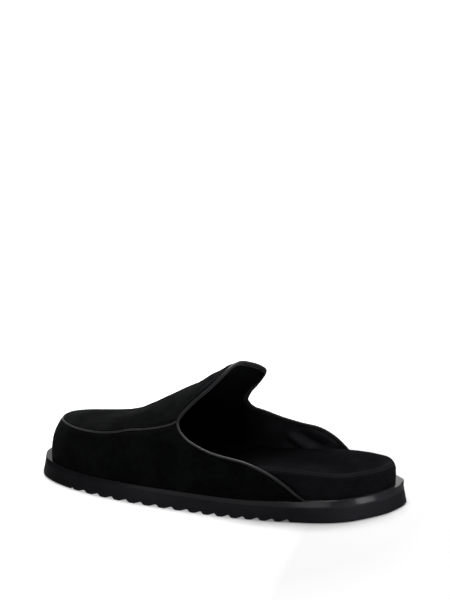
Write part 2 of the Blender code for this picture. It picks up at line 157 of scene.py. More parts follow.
FOOTBED = (
    # station, outer rim, inner rim, floor
    (0.0, 24.0, 24.0, 19.5), (60.0, 23.0, 23.0, 18.0), (120.0, 27.5, 24.5, 18.5),
    (170.0, 34.5, 27.0, 21.0), (190.0, 36.8, 27.5, 21.5), (220.0, 35.4, 29.5, 21.0),
    (250.0, 31.7, 31.0, 19.5), (272.0, 31.0, 30.6, 19.5), (292.0, 30.0, 30.0, 20.0),
)
print(len(OUTLINE), "outline rows,", len(CREST), "crest rows,", len(TONGUE_EDGE), "tongue rows")

# %% [markdown]
# ## Curves through the tables
#
# Two kinds of smooth curve are enough. `read_table` reads one column at any place and never
# overshoots its rows, which suits heights. `through_points` bends freely through points in the
# plane or in space, which suits outlines and edges. Both work on whole arrays, because the pieces
# have tens of thousands of points.

# %% Smooth curves
def smooth_step(t):
    t = np.clip(t, 0.0, 1.0)
    return t * t * (3.0 - 2.0 * t)


def read_table(rows, column, at):
    """Values of a column at places along the first one, with an even slope through the rows."""
    places = np.array([row[0] for row in rows])
    values = np.array([row[column] for row in rows])
    slopes = np.gradient(values, places)
    at = np.clip(at, places[0], places[-1])
    i = np.minimum(np.searchsorted(places, at, side="right") - 1, len(rows) - 2)
    span = places[i + 1] - places[i]
    t = (at - places[i]) / span
    rise_here = values[i + 1] - values[i]
    limit = 3.0 * np.abs(rise_here) / span
    start = np.clip(slopes[i], -limit, limit)
    end = np.clip(slopes[i + 1], -limit, limit)
    return (values[i] + rise_here * t * t * (3 - 2 * t)
            + span * (start * t * (1 - t) ** 2 - end * t * t * (1 - t)))


def through_points(points, count, closed=False):
    """A smooth curve (centripetal Catmull-Rom) with count steps between each two points."""
    points = [np.array(p, dtype=float) for p in points]
    if not closed:
        points = [2 * points[0] - points[1]] + points + [2 * points[-1] - points[-2]]
    n = len(points)
    curve = []
    for i in (range(n) if closed else range(1, n - 2)):
        p = [points[(i + k) % n] for k in (-1, 0, 1, 2)]
        roots = [math.sqrt(np.linalg.norm(b - a)) for a, b in zip(p, p[1:])]
        t = np.concatenate([[0.0], np.cumsum(roots)])
        u = (t[1] + (t[2] - t[1]) * np.arange(count) / count)[:, None]
        a = [((t[k + 1] - u) * p[k] + (u - t[k]) * p[k + 1]) / (t[k + 1] - t[k]) for k in range(3)]
        b = [((t[k + 2] - u) * a[k] + (u - t[k]) * a[k + 1]) / (t[k + 2] - t[k]) for k in range(2)]
        curve.append(((t[2] - u) * b[0] + (u - t[1]) * b[1]) / (t[2] - t[1]))
    if not closed:
        curve.append(points[-2][None])
    return np.vstack(curve)


def spaced(curve, count, skip_start=0.0, skip_end=0.0):
    """Count + 1 points at even distances along a curve, leaving out a length at either end."""
    steps = np.concatenate([[0.0], np.cumsum(np.linalg.norm(np.diff(curve, axis=0), axis=1))])
    at = np.linspace(skip_start, steps[-1] - skip_end, count + 1)
    return np.column_stack([np.interp(at, steps, curve[:, k]) for k in range(curve.shape[1])])


def length_of(curve):
    return float(np.linalg.norm(np.diff(curve, axis=0), axis=1).sum())


# %% [markdown]
# ## The edge of the sole
#
# A shoemaker measures along the feather edge, where the upper meets the sole. `Edge` is one side
# of that edge, outer or inner, with a direction into the shoe at each place, so that insets run
# square to it even round the toe and the heel.

# %% Sole edges
class Edge:
    """One side of the sole's outline, from the toe tip to the heel end and a little past each."""

    def __init__(self, curve, past):
        steps = np.linalg.norm(np.diff(curve, axis=0), axis=1)
        around = np.concatenate([[0.0], np.cumsum(steps)])
        self.around = around - around[past]
        self.curve = curve
        self.past = past
        self.length = float(self.around[-1 - past])

    def point(self, around):
        return np.column_stack([np.interp(around, self.around, self.curve[:, k]) for k in (0, 1)])

    def inset(self, around, distance):
        around = np.atleast_1d(np.asarray(around, dtype=float))
        point = self.point(around)
        along = self.point(around + 1.5) - self.point(around - 1.5)
        normal = np.column_stack([-along[:, 1], along[:, 0]])
        normal /= np.linalg.norm(normal, axis=1)[:, None]
        middle = np.array([SOLE_LENGTH / 2, 0.0])
        turned = np.sign((normal * (middle - point)).sum(axis=1))[:, None]
        return point + normal * turned * np.broadcast_to(distance, around.shape)[:, None]

    def at_station(self, station):
        own = slice(self.past, len(self.curve) - self.past)
        return np.interp(station, self.curve[own, 0], self.around[own])


def sole_edges():
    loop = ([(0.0, TOE_TIP_Y)] + [(row[0], row[1]) for row in OUTLINE]
            + [(SOLE_LENGTH, HEEL_END_Y)] + [(row[0], row[2]) for row in OUTLINE][::-1])
    steps, past = 30, 10
    curve = through_points(loop, steps, closed=True)
    half = (len(OUTLINE) + 1) * steps
    order = np.arange(-past, half + past + 1)
    return {"outer": Edge(curve[order % len(curve)], past),
            "inner": Edge(curve[-order % len(curve)], past)}


EDGES = sole_edges()
print("edge lengths in mm:", {side: round(edge.length, 1) for side, edge in EDGES.items()})

# %% [markdown]
# ## Turning sizes into meshes
#
# Pieces are laid out as grids of points in millimetres and turned into meshes in one place. The
# helper also makes the object ride on the shoe, says which plain solid it stands for, and reports
# its size.

# %% Mesh helpers
def near_toe(around):
    """1 at the toe tip, falling to 0 some way along each side."""
    return 1.0 - smooth_step((around - 15.0) / 45.0)


def spring(station):
    """Lift of the sole over the floor towards the toe."""
    return TOE_SPRING * np.maximum(0.0, 1.0 - np.asarray(station) / TOE_SPRING_LENGTH) ** 2


def to_frame(points):
    """Shoe millimetres (station, y, height) to metres in the frame."""
    points = np.asarray(points, dtype=float)
    return np.column_stack([SOLE_LENGTH / 2 - points[:, 0], points[:, 1], points[:, 2]]) * MM


def grid_faces(rows, columns, close_columns=False):
    """Quads of a grid of points stored row after row; closing wraps the columns round."""
    faces = []
    for i in range(rows - 1):
        for j in range(columns if close_columns else columns - 1):
            a, b = i * columns, (i + 1) * columns
            k = (j + 1) % columns
            faces.append((a + j, a + k, b + k, b + j))
    return faces


def tube_faces(rings, sides):
    """Faces of a tube of rings, with one flat face at each end."""
    last = (rings - 1) * sides
    return (grid_faces(rings, sides, close_columns=True)
            + [tuple(range(sides)), tuple(range(last, last + sides))])


def make_piece(name, points, faces, stands_for=()):
    """A smooth mesh object that rides on the shoe."""
    bm = bmesh.new()
    verts = [bm.verts.new(p) for p in points]
    for face in faces:
        corners = list(dict.fromkeys(face))
        if len(corners) > 2:
            bm.faces.new([verts[i] for i in corners])
    bmesh.ops.recalc_face_normals(bm, faces=bm.faces)
    mesh = bpy.data.meshes.new(name)
    bm.to_mesh(mesh)
    bm.free()
    mesh.shade_smooth()
    piece = bpy.data.objects.new(name, mesh)
    bpy.context.scene.collection.objects.link(piece)
    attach(piece, BODY)
    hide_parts(*stands_for)
    print(f"{name}: {len(mesh.vertices)} points, {len(mesh.polygons)} faces")
    return piece


# %% [markdown]
# ## The rippled rubber sole
#
# The real sole is moulded: flat teeth with small rounded notches between them, a side that leans
# in a little, and a bevel all round its top edge that catches the light. A Boolean could cut the
# notches, but it would leave hard edges. Instead the underside is a height function of the
# station, rounded at each corner, and rings of points carry it up the side and over the bevel.
# The bevel is hand trimmed: hardly there at the toe, widest round the outer heel and narrow again
# at the inner heel corner, and the top edge stands a little higher round the heel.

# %% Underside of the sole
def ripple_profile():
    """Stations and heights of the corners of the rippled underside."""
    corners = []
    for zone in (FRONT_RIPPLES, REAR_RIPPLES):
        for i in range(zone["count"]):
            notch = zone["first"] + i * zone["pitch"]
            corners += [(notch, RIPPLE_DEPTH), (notch + 0.16 * zone["pitch"], 0.0),
                        (notch + 0.52 * zone["pitch"], 0.0)]
    last = REAR_RIPPLES["first"] + REAR_RIPPLES["count"] * REAR_RIPPLES["pitch"]
    return np.array(corners + [(last, RIPPLE_DEPTH), (last + 0.16 * REAR_RIPPLES["pitch"], 0.0)])


RIPPLES = ripple_profile()


def underside(station):
    """Height of the underside over the floor, with its corners rounded by a short average."""
    rounding = np.linspace(-0.55, 0.55, 7)
    heights = [np.interp(station + r, RIPPLES[:, 0], RIPPLES[:, 1], 0.0, 0.0) for r in rounding]
    return np.mean(heights, axis=0) + spring(station)


END_REACH, END_CROWDING = 38.0, 1.9


def end_stations(count):
    """Stations over the first stretch of the toe, crowded towards its tip."""
    return END_REACH * (np.arange(1, count) / count) ** END_CROWDING


def ring_stations():
    """Stations for the rings of the sole: crowded at both ends and fine through the ripples."""
    ripples = np.arange(END_REACH, 218.0, 0.62)
    block = np.arange(218.5, SOLE_LENGTH - END_REACH, 1.5)
    return np.concatenate([end_stations(40), ripples, block, SOLE_LENGTH - end_stations(40)[::-1]])


print("ripple corners:", len(RIPPLES), " ring stations:", len(ring_stations()))

# %% Rings of the sole
def ring(stations, inset, height, toe_extra=0.0):
    """Points once round the shoe.

    The height is a function of station and side; the inset may be a function of around and side.
    """
    def side_points(side, around):
        extra = toe_extra * near_toe(around)
        own = inset(around, side) if callable(inset) else inset
        flat = EDGES[side].inset(around, own + extra)
        return np.column_stack([flat, height(flat[:, 0], side)])

    outer, inner = EDGES["outer"], EDGES["inner"]
    return np.vstack([side_points("outer", np.array([0.0])),
                      side_points("outer", outer.at_station(stations)),
                      side_points("outer", np.array([outer.length])),
                      side_points("inner", inner.at_station(stations[::-1]))])


def cap_faces(start, count, fill):
    """Strips that close a ring from side to side; its first point is the toe."""
    half = count // 2
    faces = [(start, start + 1, start + count - 1)]
    faces += [(start + i, start + i + 1, start + count - i - 1, start + count - i)
              for i in range(1, half - 1)]
    faces.append((start + half - 1, start + half, start + half + 1))
    return faces if fill > 0 else [f[::-1] for f in faces]


def block_faces(rings):
    """Faces of a block made of rings, closed underneath and on top."""
    count = len(rings[0])
    return (grid_faces(len(rings), count, close_columns=True) + cap_faces(0, count, -1)
            + cap_faces((len(rings) - 1) * count, count, 1))


def bevel_rows():
    """Rows over the bevel: share of the way in, share of the way up, with both corners eased."""
    return ((-0.03, -0.12), (0.0, -0.02), (0.05, 0.055), (0.25, 0.26), (0.50, 0.51), (0.75, 0.76),
            (0.93, 0.94), (0.985, 0.985), (1.03, 0.998), (1.10, 1.0))


def edge_rise(station):
    """The top edge of the sole stands a little higher round the heel."""
    return HEEL_EDGE_RISE * smooth_step((station - 180.0) / 55.0)


def bevel_width(around, side):
    """How far in from the sole's edge the bevel ends: narrow at the toe, wide at the outer heel."""
    from_heel = EDGES[side].length - around
    width = BEVEL_INSET + (TOE_BEVEL_INSET - BEVEL_INSET) * (1.0 - smooth_step(around / 45.0))
    if side == "outer":
        width = width + (HEEL_BEVEL_INSET - width) * smooth_step((around - 228.0) / 30.0)
        return width + (HEEL_END_INSET - width) * smooth_step((26.0 - from_heel) / 16.0)
    width = width - INNER_BEVEL_LESS * smooth_step((around - 200.0) / 40.0)
    width = width + (TOE_BEVEL_INSET - width) * smooth_step((20.0 - from_heel) / 10.0)
    return width + (HEEL_END_INSET - width) * smooth_step((9.0 - from_heel) / 9.0)


LEDGE_STEP, LEDGE_END_INSET = 4.0, BEVEL_INSET + 7.0


def sole_side_rings(stations):
    """Rings from the ripples up the flared side, over the bevel and onto the ledge."""
    bevel_foot = SOLE_THICKNESS - BEVEL_HEIGHT
    edge = BEVEL_FOOT_INSET - EDGE_FLARE
    rings = []
    for inset, lift in ((0.55, 0.0), (0.25, 0.08), (0.07, 0.3), (0.05, 0.7)):
        rings.append(ring(stations, edge + inset, lambda s, side, lift=lift: underside(s) + lift))
    for share in (0.3, 0.5, 0.7, 0.88):
        rings.append(ring(stations, edge + EDGE_FLARE * share,
                          lambda s, side, share=share: bevel_foot * share + spring(s)))
    for inwards, upwards in bevel_rows():
        def inset(around, side, inwards=inwards):
            over_the_top = max(inwards - 1.0, 0.0)
            share = inwards - over_the_top
            width = bevel_width(around, side) - BEVEL_FOOT_INSET
            return BEVEL_FOOT_INSET + width * share + LEDGE_STEP * over_the_top
        rings.append(ring(stations, inset, lambda s, side, upwards=upwards:
                          bevel_foot + (BEVEL_HEIGHT + edge_rise(s)) * upwards + spring(s)))
    rings.append(ring(stations, LEDGE_END_INSET,
                      lambda s, side: SOLE_THICKNESS + edge_rise(s) + spring(s)))
    return rings


# %% Make the sole
sole_rings = sole_side_rings(ring_stations())
sole = make_piece("rubber_sole", to_frame(np.vstack(sole_rings)), block_faces(sole_rings),
                  ["outsole"])

# %% [markdown]
# ## The footbed
#
# The footbed is a cork block covered in suede. Its wall stands up from the sole, rolls over a soft
# rim and runs down into a cup for the heel. For each place round the edge a few control points
# describe that section, and a smooth curve through them gives the roll of the rim.

# %% Sections of the footbed
def middle_line(station):
    """Points half way across, kept clear of toe and heel."""
    def soft(past):
        return (past + np.sqrt(past ** 2 + 22.0 ** 2)) / 2

    station = np.asarray(station)
    s = CUP_END + soft(station - CUP_END) - soft(station - (SOLE_LENGTH - CUP_END))
    y = sum(edge.point(edge.at_station(s))[:, 1] for edge in EDGES.values()) / 2
    return np.column_stack([s, y])


def footbed_ring(stations, inset, share, lift, down=0.0, towards=0.0):
    """A ring that has come a share of the way from rim to floor, moved in towards the middle."""
    def height(station, side):
        rim = read_table(FOOTBED, 1 if side == "outer" else 2, station)
        return rim + (read_table(FOOTBED, 3, station) - rim) * share + lift

    points = ring(stations, inset, height, TOE_WALL_INSET - WALL_INSET)
    inwards = middle_line(points[:, 0]) - points[:, :2]
    reach = np.linalg.norm(inwards, axis=1)[:, None]
    points[:, :2] += inwards * (down + (reach - down) * towards) / reach
    return points


def rounded(points, reach):
    """A closed ring averaged along its own length over a reach, so that its corners open out."""
    steps = np.linalg.norm(np.diff(points, axis=0, append=points[:1]), axis=1)
    at = np.concatenate([[0.0], np.cumsum(steps[:-1])])
    gap = np.abs(at[:, None] - at[None])
    gap = np.minimum(gap, steps.sum() - gap)
    weight = np.exp(-0.5 * (gap / reach) ** 2) * ((steps + np.roll(steps, 1)) / 2)
    return weight @ points / weight.sum(axis=1)[:, None]


def footbed_sections(stations):
    foot = ring(stations, FOOTBED_INSET, lambda s, side: SOLE_THICKNESS + 0.02 + spring(s),
                TOE_WALL_INSET - WALL_INSET)
    waist = foot.copy()
    waist[:, 2] += 2.5
    rows = [
        foot, waist,
        footbed_ring(stations, FOOTBED_INSET + 0.3, 0.0, -6.0),
        footbed_ring(stations, FOOTBED_INSET + 1.1, 0.0, -2.4),
        footbed_ring(stations, FOOTBED_INSET + 2.2, 0.0, -0.6),
        footbed_ring(stations, RIM_TOP_INSET + 0.2, 0.0, 0.0),
        footbed_ring(stations, RIM_TOP_INSET, 0.10, 0.0, 2.4),
        footbed_ring(stations, RIM_TOP_INSET, 0.34, 0.0, 5.0),
        footbed_ring(stations, RIM_TOP_INSET, 0.66, 0.0, CUP_SLOPE),
        footbed_ring(stations, RIM_TOP_INSET, 0.88, 0.0, CUP_SLOPE, 0.25),
        footbed_ring(stations, RIM_TOP_INSET, 1.0, 0.0, CUP_SLOPE, 0.6),
        footbed_ring(stations, RIM_TOP_INSET, 1.03, 0.0, CUP_SLOPE, 0.97),
    ]
    return rows[:4] + [rounded(row, reach) for row, reach in
                       zip(rows[4:], (1.5, 4.0, 7.0, 9.0, 11.0, 11.0, 10.0, 3.0))]


# %% Make the footbed
BED_STEPS = 5


def rings_between(a, b, c, d):
    """Rings from section b towards section c, bending with the sections on either side of them."""
    t = np.arange(BED_STEPS)[:, None, None] / BED_STEPS
    return 0.5 * (2 * b + (c - a) * t + (2 * a - 5 * b + 4 * c - d) * t ** 2
                  + (3 * b - a - 3 * c + d) * t ** 3)


bed_stations = np.concatenate([end_stations(36), np.arange(38.5, 253.0, 2.0),
                               SOLE_LENGTH - end_stations(36)[::-1]])
sections = footbed_sections(bed_stations)
bed_rings = [rings_between(*four) for four in zip([sections[0]] + sections, sections, sections[1:],
                                                  sections[2:] + [sections[-1]])]
bed_rings = np.vstack(bed_rings + [sections[-1][None]])
footbed = make_piece("suede_footbed", to_frame(bed_rings.reshape(-1, 3)), block_faces(bed_rings),
                     ["footbed"])

# %% [markdown]
# ## The upper as one sheet
#
# A real upper is cut flat, stitched and pulled over the last. Its middle surface is laid out here
# as two grids that share the toe seam. The side wall runs from one quarter round the toe to the
# other, in columns. The apron and tongue run over the top in strips, from the outer edge over the
# crest to the inner edge. Each point remembers how far it is from the seam and from the free edge,
# because the creases are measured from those.

# %% Walls, collar and tongue
def wall_points(side, around, height):
    """Points in the middle of the wall, which stands straight and then leans in."""
    around, height = np.broadcast_arrays(np.asarray(around, float), np.asarray(height, float))
    lean = read_table(LEAN, 1 if side == "outer" else 2, around)
    up_the_wall = np.maximum(height - SOLE_THICKNESS, 0.0) / (LEAN_HEIGHT - SOLE_THICKNESS)
    lean = lean * up_the_wall ** LEAN_POWER
    toe_more = (TOE_WALL_INSET - WALL_INSET) * near_toe(around)
    flat = EDGES[side].inset(around, WALL_INSET + toe_more + lean)
    return np.column_stack([flat, height])


def collar_line(side, back=0.0):
    """The collar in (around, height), moved back into the leather by a distance."""
    line = through_points(OUTER_COLLAR if side == "outer" else INNER_COLLAR, 12)
    along = np.gradient(line, axis=0)
    along /= np.linalg.norm(along, axis=1)[:, None]
    return line + back * np.column_stack([along[:, 1], -along[:, 0]])


def tongue_lines():
    """Free edge of the tongue: outer side up to the tip, across the tip, inner side up to it."""
    corners = [wall_points("outer", [OUTER_COLLAR[0][0]], [OUTER_COLLAR[0][1]])[0],
               wall_points("inner", [INNER_COLLAR[0][0]], [INNER_COLLAR[0][1]])[0]]
    steps = 16
    line = through_points([corners[0], *TONGUE_EDGE, corners[1]], steps)
    start, end = ((row + 1) * steps for row in TIP_ROWS)
    return line[:start + 1], line[start:end + 1], line[end:][::-1]


def free_edge():
    """The whole free edge, from the outer quarter's end over the tongue to the inner one's."""
    outer_line, tip_line, inner_line = tongue_lines()
    collars = {side: collar_line(side) for side in EDGES}
    return np.vstack([wall_points("outer", *collars["outer"][::-1].T), outer_line[1:], tip_line[1:],
                      inner_line[::-1][1:], wall_points("inner", *collars["inner"].T)[1:]])


print("free edge:", round(length_of(free_edge())), "mm long")

# %% Grid of the side wall
WALL_ROWS = 34            # rows up the wall
SEAM_ROWS = 104           # columns along the seam to the outer throat corner
INNER_SEAM_ROWS = 26      # further columns to the inner throat corner
COLLAR_ROWS = 76          # columns along each collar
TONGUE_ROWS = 46          # strips over the tongue
STRIP_STEPS = 96          # steps across a strip
EDGE_BACK = 0.45          # the sheet ends this far inside the binding


def wall_tops(side):
    """Where each column of the wall stands and how high it goes: the seam, then the collar."""
    seam = OUTER_SEAM if side == "outer" else INNER_SEAM
    collar = collar_line(side, EDGE_BACK)
    outer_corner = collar_line("outer", EDGE_BACK)[0][0]
    around = np.linspace(0.0, outer_corner, SEAM_ROWS + 1)
    if side == "inner":
        further = np.linspace(outer_corner, collar[0][0], INNER_SEAM_ROWS + 1)[1:]
        around = np.concatenate([around, further])
    tops = np.column_stack([around, read_table(seam, 1, around)])
    return np.vstack([tops, spaced(np.vstack([tops[-1:], collar[1:]]), COLLAR_ROWS)[1:]])


def wall_grid(side):
    """Points of one side's columns, foot to top, starting at the toe."""
    tops = wall_tops(side)
    columns = []
    for around, top in tops:
        station = wall_points(side, [around], [SOLE_THICKNESS])[0][0]
        foot = SOLE_THICKNESS + 0.05 + float(spring(station))
        heights = np.linspace(foot, max(top, foot + 0.3), WALL_ROWS + 1)
        columns.append(wall_points(side, around, heights))
    return np.array(columns)


walls = {side: wall_grid(side) for side in EDGES}
print("wall columns:", {side: grid.shape[0] for side, grid in walls.items()})

# %% Strips over the apron and tongue
def strip_over(outer, inner, crest):
    """A fine line from the outer edge over the crest to the inner edge."""
    w = np.linspace(0.0, 1.0, 121)[:, None]
    bump = 1.0 - np.abs(2.0 * w - 1.0) ** CREST_POWER
    return outer + (inner - outer) * w + (crest - (outer + inner) / 2) * bump


def apron_strips(seam_outer, seam_inner):
    """All strips, from the toe back to the tongue's tip, each with the same number of steps."""
    outer_line, tip_line, inner_line = tongue_lines()
    inner_rows = SEAM_ROWS + TONGUE_ROWS + 1 - len(seam_inner)
    outer_ends = np.vstack([seam_outer, spaced(outer_line, TONGUE_ROWS)[1:]])
    inner_ends = np.vstack([seam_inner, spaced(inner_line, inner_rows)[1:]])
    crest_line = through_points([seam_outer[0], *CREST], 12)
    stations = ((outer_ends + inner_ends) / 2)[:SEAM_ROWS + 1, 0]
    further = np.linspace(stations[-1], CREST[-1][0], TONGUE_ROWS + 1)[1:]
    stations = np.concatenate([stations, further])
    strips = []
    for i in range(1, len(outer_ends) - 1):
        crest = np.array([np.interp(stations[i], crest_line[:, 0], column)
                          for column in crest_line.T])
        strips.append(spaced(strip_over(outer_ends[i], inner_ends[i], crest), STRIP_STEPS,
                             EDGE_BACK if i >= len(seam_outer) else 0.0,
                             EDGE_BACK if i >= len(seam_inner) else 0.0))
    tip = spaced(tip_line, STRIP_STEPS)
    inwards = strips[-1] - tip
    inwards /= np.linalg.norm(inwards, axis=1)[:, None]
    return np.array(strips + [tip + inwards * EDGE_BACK])


seam_outer = walls["outer"][:SEAM_ROWS + 1, -1]
seam_inner = walls["inner"][:SEAM_ROWS + INNER_SEAM_ROWS + 1, -1]
strips = apron_strips(seam_outer, seam_inner)
print("strips over the top:", strips.shape)

# %% Join the grids into one sheet
def upper_sheet():
    """Points, faces and the numbers of the seam's points, in order from outer to inner corner."""
    band = np.vstack([walls["outer"][:0:-1], walls["inner"]])
    columns, rows = band.shape[:2]
    points = [band.reshape(-1, 3)]
    faces = grid_faces(columns, rows)
    toe = (len(walls["outer"]) - 1) * rows + rows - 1
    number = columns * rows
    previous = [toe] * (STRIP_STEPS + 1)
    for i, strip in enumerate(strips, start=1):
        first = toe - i * rows if i <= SEAM_ROWS else None
        last = toe + i * rows if i <= SEAM_ROWS + INNER_SEAM_ROWS else None
        keep = strip[(0 if first is None else 1):(len(strip) if last is None else -1)]
        row = list(range(number, number + len(keep)))
        number += len(keep)
        points.append(keep)
        row = ([] if first is None else [first]) + row + ([] if last is None else [last])
        faces += [(previous[k], row[k], row[k + 1], previous[k + 1]) for k in range(STRIP_STEPS)]
        previous = row
    seam = [toe - i * rows for i in range(SEAM_ROWS, 0, -1)]
    seam += [toe + i * rows for i in range(SEAM_ROWS + INNER_SEAM_ROWS + 1)]
    return np.vstack(points), faces, seam


sheet_points, sheet_faces, seam_numbers = upper_sheet()
print("sheet:", len(sheet_points), "points,", len(sheet_faces), "faces")

# %% [markdown]
# ## Softening and creasing the sheet
#
# Leather can't hold the sharp turn between wall and apron, so the sheet is first relaxed: each
# point moves part of the way to the mean of its neighbours, while the edges stay. Then every
# point is pushed along its normal by a sum of soft troughs and ridges, each given in the
# shoe's own sizes, as a maker would describe them.

# %% Relax the sheet
def neighbours_of(count, faces):
    """Pairs of neighbouring points, each pair both ways round, and how many each point has."""
    pairs = set()
    for face in faces:
        corners = list(dict.fromkeys(face))
        for a, b in zip(corners, corners[1:] + corners[:1]):
            pairs.add((a, b))
            pairs.add((b, a))
    pairs = np.array(sorted(pairs))
    degree = np.bincount(pairs[:, 0], minlength=count)
    return pairs, degree


def border_of(faces):
    """Numbers of the points on the open border."""
    seen = {}
    for face in faces:
        corners = list(dict.fromkeys(face))
        for a, b in zip(corners, corners[1:] + corners[:1]):
            key = (min(a, b), max(a, b))
            seen[key] = seen.get(key, 0) + 1
    return sorted({v for key, n in seen.items() if n == 1 for v in key})


def relax(points, faces, rounds, strength):
    """Each point moves a share of the way to the mean of its neighbours; the border stays."""
    pairs, degree = neighbours_of(len(points), faces)
    fixed = np.zeros(len(points), bool)
    fixed[border_of(faces)] = True
    points = points.copy()
    for _ in range(rounds):
        total = np.zeros_like(points)
        np.add.at(total, pairs[:, 0], points[pairs[:, 1]])
        mean = total / np.maximum(degree, 1)[:, None]
        points[~fixed] += strength * (mean - points)[~fixed]
    return points


RELAX_ROUNDS, RELAX_SHARE = 14, 0.6
relaxed = relax(sheet_points, sheet_faces, RELAX_ROUNDS, RELAX_SHARE)
furthest = float(np.linalg.norm(relaxed - sheet_points, axis=1).max())
print("relaxing moved points by up to", round(furthest, 2), "mm")

# %% Distances that the creases use
INSIDE_SHOE = np.array([110.0, -2.0, 30.0])     # a point in the foot's room


def normals_of(points, faces):
    """Smooth normals, pointing out of the shoe."""
    total = np.zeros_like(points)
    quads = np.array([f if len(f) == 4 else (*f, f[-1]) for f in faces])
    a, b, c, d = (points[quads[:, k]] for k in range(4))
    face_normal = np.cross(c - a, d - b)
    for k in range(4):
        np.add.at(total, quads[:, k], face_normal)
    total /= np.maximum(np.linalg.norm(total, axis=1), 1e-9)[:, None]
    return total if ((points - INSIDE_SHOE) * total).sum() > 0 else -total


def distance_to(points, line):
    """Distance of each point to a fine line."""
    nearest = np.full(len(points), 1e9)
    for start in range(0, len(line), 64):
        gap = points[:, None, :] - line[None, start:start + 64, :]
        nearest = np.minimum(nearest, np.sqrt((gap ** 2).sum(axis=2)).min(axis=1))
    return nearest


sheet_normals = normals_of(relaxed, sheet_faces)
seam_gap = distance_to(relaxed, spaced(relaxed[seam_numbers], 500))
edge_gap = distance_to(relaxed, spaced(free_edge(), 700))
print("furthest point from the seam:", round(float(seam_gap.max()), 1), "mm")

# %% Creases
def hump(distance, width):
    """1 on a line, falling smoothly to nothing at about twice the width."""
    return np.exp(-(distance / width) ** 2)


CREASE_STEPS = 80


def crease(points, path, width, depth):
    """A soft trough (or ridge, if depth is below 0) along a path, fading out at both its ends."""
    line = spaced(through_points(path, 16), CREASE_STEPS)
    gap = np.sqrt(((points[:, None, :] - line[None]) ** 2).sum(axis=2))
    nearest = gap.argmin(axis=1)
    along = nearest / CREASE_STEPS
    fade = smooth_step(along / 0.25) * smooth_step((1.0 - along) / 0.25)
    return -depth * hump(gap.min(axis=1), width) * fade


CREASES = (
    # name, width, depth, path of (station, y, height)
    ("ridge beside the binding", 0.9, -0.9,
     ((126.5, 27.0, 64.5), (132.0, 22.8, 71.7), (139.5, 18.8, 79.8), (148.4, 15.1, 87.5),
      (154.5, 11.8, 93.5))),
    ("hollow behind that ridge", 1.3, 0.7,
     ((129.0, 21.8, 71.0), (136.0, 17.8, 79.2), (143.5, 14.6, 86.4), (151.0, 10.2, 92.6))),
    ("flex crease, outer", 4.0, 0.5,
     ((84.0, 30.0, 49.0), (90.0, 20.0, 54.5), (92.0, 6.0, 57.5), (90.0, -8.0, 57.5))),
    ("flex crease, inner", 4.5, 0.45,
     ((98.0, -8.0, 62.0), (97.0, -22.0, 60.0), (92.0, -34.0, 53.0), (88.0, -42.0, 45.0))),
    ("instep hollow", 6.0, 0.5,
     ((112.0, 24.0, 60.0), (116.0, 12.0, 70.0), (116.0, 0.0, 73.0))),
    ("dent in the outer wall", 7.0, 0.5,
     ((95.0, 42.5, 30.0), (115.0, 44.5, 32.0), (135.0, 45.5, 30.0))),
    ("swell over the ball", 9.0, -0.6,
     ((70.0, -46.0, 30.0), (90.0, -47.0, 32.0), (110.0, -45.0, 30.0))),
    ("fold of the inner quarter", 3.0, 2.4,
     ((195.0, -33.0, 41.0), (200.0, -33.0, 36.5), (206.5, -33.0, 32.0), (214.0, -33.5, 26.0),
      (219.0, -34.0, 22.0))),
    ("pocket behind that fold", 3.4, -2.6,
     ((202.0, -32.5, 42.0), (209.0, -32.5, 38.0), (218.0, -33.0, 33.5), (230.0, -33.5, 28.0))),
    ("roll under the inner collar", 2.6, 1.1,
     ((212.0, -32.5, 45.0), (222.0, -32.5, 41.5), (231.0, -33.0, 36.5), (240.0, -33.5, 30.0))),
)

push = np.zeros(len(relaxed))
held = smooth_step((edge_gap - 0.5) / 3.5)     # the binding keeps the free edge where it is
for name, width, depth, path in CREASES:
    near = crease(relaxed, path, width, depth) * held
    push += near
    print(f"{name}: {int((np.abs(near) > 0.05).sum())} points moved")

# %% Unevenness and the pinch at the seam
def uneven(points, scale, seed):
    """Slow noise between about -1 and 1, one lump every scale millimetres."""
    return np.array([noise.noise(Vector(p / scale) + Vector((seed, 0.0, 0.0))) for p in points])


push += held * (0.30 * uneven(relaxed, 26.0, 3.0) + 0.10 * uneven(relaxed, 8.0, 7.0) + 0.15)
seam_pinch = 0.75 * hump(seam_gap, 1.5) - 0.22 * hump(seam_gap - 3.4, 1.8)
inner_tongue = (smooth_step((-relaxed[:, 1] - 8.0) / 6.0)
                * smooth_step((relaxed[:, 0] - 95.0) / 25.0))
push -= seam_pinch * smooth_step((edge_gap - 0.5) / 2.5) * (1.0 - 0.6 * inner_tongue)
creased = relaxed + sheet_normals * push[:, None]
print("creases move the suede from", round(float(push.min()), 2),
      "to", round(float(push.max()), 2), "mm")

# %% Make the upper
upper = make_piece("suede_upper", to_frame(creased), sheet_faces, ["upper"])
shell = upper.modifiers.new("leather and lining", "SOLIDIFY")
shell.thickness = WALL * MM
shell.offset = 0.0
shell.material_offset = 1
shell.material_offset_rim = 0
tree = BVHTree.FromPolygons([Vector(p) for p in to_frame(creased)],
                            [tuple(dict.fromkeys(f)) for f in sheet_faces if len(set(f)) > 2])

# %% [markdown]
# ## Binding along the free edge
#
# A strip of smooth leather is folded over the raw edge and stitched down. Its section is a round
# fold with a thin leg on each face of the suede. The section is swept along the free edge: at each
# place one direction runs into the leather and one stands out from it, both taken from the sheet
# itself, so that the legs lie flat on the suede as it turns.

# %% Frames along the free edge
PROBE = 3.0            # how far to look for the sheet on either side of its edge
DOWN_TO_LEDGE = 2.6    # both ends run on down to the sole


def smooth_along(rows, rounds):
    """Rows averaged with their neighbours, with both ends kept."""
    rows = rows.copy()
    for _ in range(rounds):
        rows[1:-1] = (rows[:-2] + 2 * rows[1:-1] + rows[2:]) / 4
    return rows


